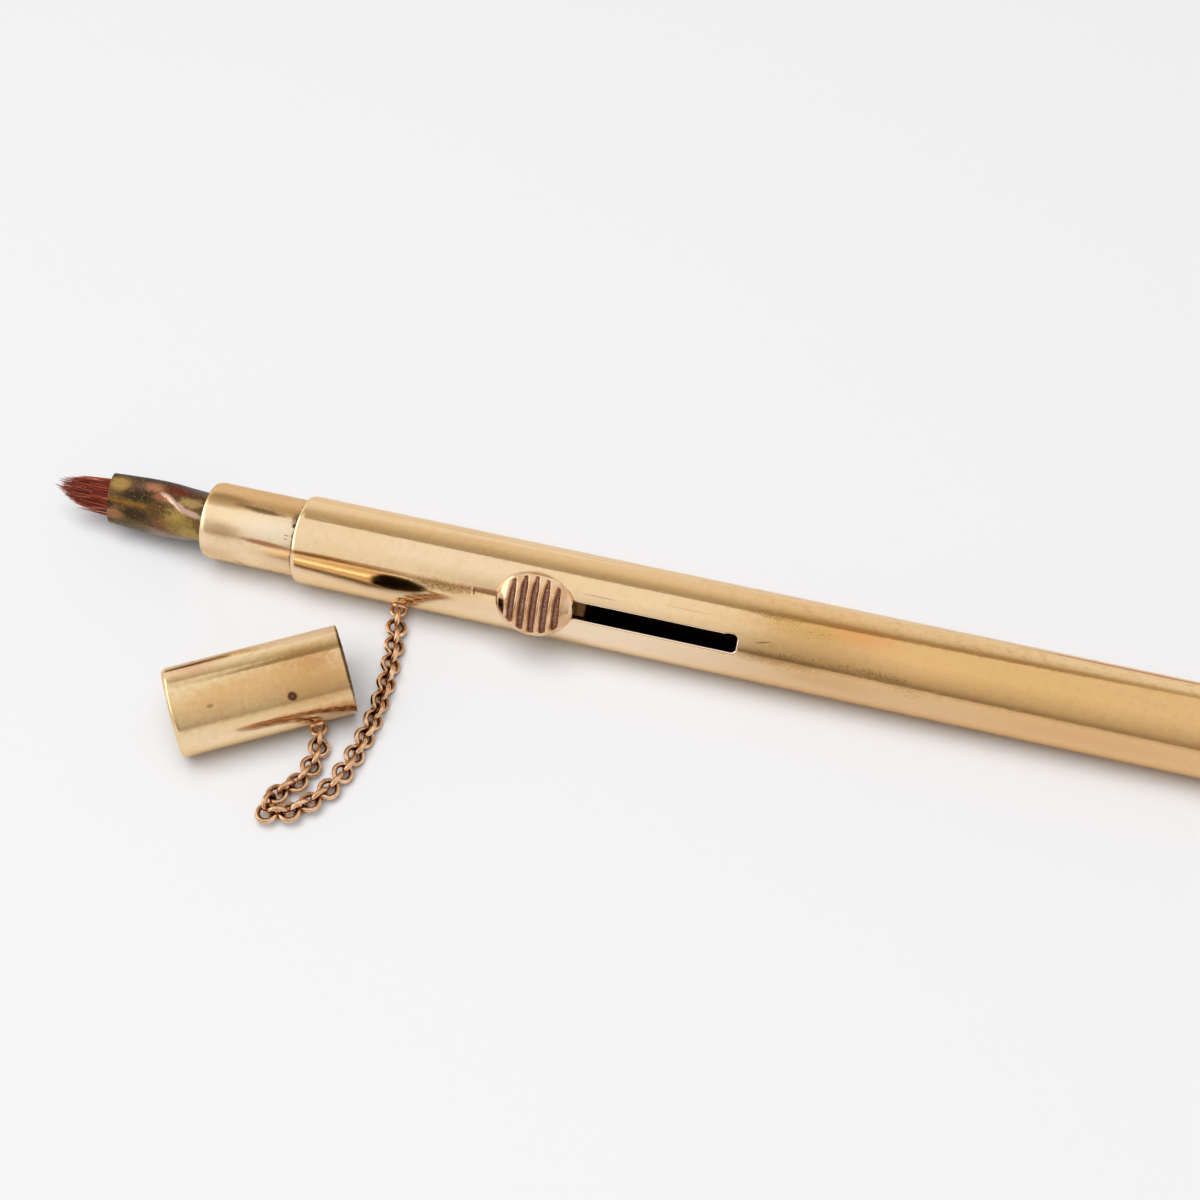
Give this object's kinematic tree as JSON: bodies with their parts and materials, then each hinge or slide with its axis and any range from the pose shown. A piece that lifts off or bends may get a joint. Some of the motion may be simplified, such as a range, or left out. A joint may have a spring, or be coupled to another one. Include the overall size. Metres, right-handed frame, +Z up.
{
  "type": "retractable lip brush with cap",
  "caption": "Slim round metal case with a sliding thumb button that runs a flat lip brush in and out, and a pull-off cap on a fine chain.",
  "frame": {"origin": "on the surface that the object lies on, under the middle of the plan box of the case and cap together, without the chain", "axes": "+X along the case from its brush end to its closed rear end, +Y away from the cap, +Z up from the surface"},
  "size_m": [0.1396, 0.0386, 0.0116],
  "materials": {
    "gilt": "polished gold plate, rubbed and lightly tarnished",
    "pale_gilt": "pale worn gold plate with brown traces",
    "cap_gilt": "polished greener gold plate with faint stains",
    "rose_gilt": "polished rose gold with dark dirt in its grooves",
    "copper": "polished copper-coloured wire",
    "worn_brass": "patchy worn plate, brown, olive and yellow",
    "plain_brass": "dull brown brass",
    "spring_steel": "satin",
    "hair": "red-brown hair bristles"
  },
  "bodies": {
    "case": {"case_tube": "gilt", "neck_sleeve": "pale_gilt", "rear_plug": "gilt", "case_eye": "copper"},
    "slider": {"slider_carriage": "plain_brass", "friction_spring": "spring_steel", "button_stem": "plain_brass", "thumb_button": "rose_gilt", "button_screw": "spring_steel", "brush_handle": "plain_brass", "handle_pin": "spring_steel", "ferrule": "worn_brass", "bristle_tuft": "hair"},
    "chain": {"chain_link_01": "copper", "chain_link_02": "copper", "chain_link_03": "copper", "chain_link_04": "copper", "chain_link_05": "copper", "chain_link_06": "copper", "chain_link_07": "copper", "chain_link_08": "copper", "chain_link_09": "copper", "chain_link_10": "copper", "chain_link_11": "copper", "chain_link_12": "copper", "chain_link_13": "copper", "chain_link_14": "copper", "chain_link_15": "copper", "chain_link_16": "copper", "chain_link_17": "copper", "chain_link_18": "copper", "chain_link_19": "copper", "chain_link_20": "copper", "chain_link_21": "copper", "chain_link_22": "copper", "chain_link_23": "copper", "chain_link_24": "copper", "chain_link_25": "copper", "chain_link_26": "copper", "chain_link_27": "copper", "chain_link_28": "copper", "chain_link_29": "copper", "chain_link_30": "copper", "chain_link_31": "copper", "chain_link_32": "copper", "chain_link_33": "copper", "chain_link_34": "copper", "chain_link_35": "copper"},
    "cap": {"cap_shell": "cap_gilt", "cap_end_disc": "cap_gilt", "cap_rivet": "worn_brass", "cap_eye": "copper"}
  },
  "joints": [
    {"name": "brush_slide", "type": "slide", "parent": "case", "child": "slider", "axis": [1, 0, 0], "range_m": [0, 0.0196]},
    {"name": "chain_swing", "type": "hinge", "parent": "case", "child": "chain", "pos_m": [-0.02717, 0.00714, 0.00139], "axis": [0, 0, 1], "range_deg": [-15, 20]},
    {"name": "cap_swing", "type": "hinge", "parent": "chain", "child": "cap", "pos_m": [-0.03039, -0.00971, 0.00135], "axis": [0, 0, 1], "range_deg": [-10, 20]}
  ]
}
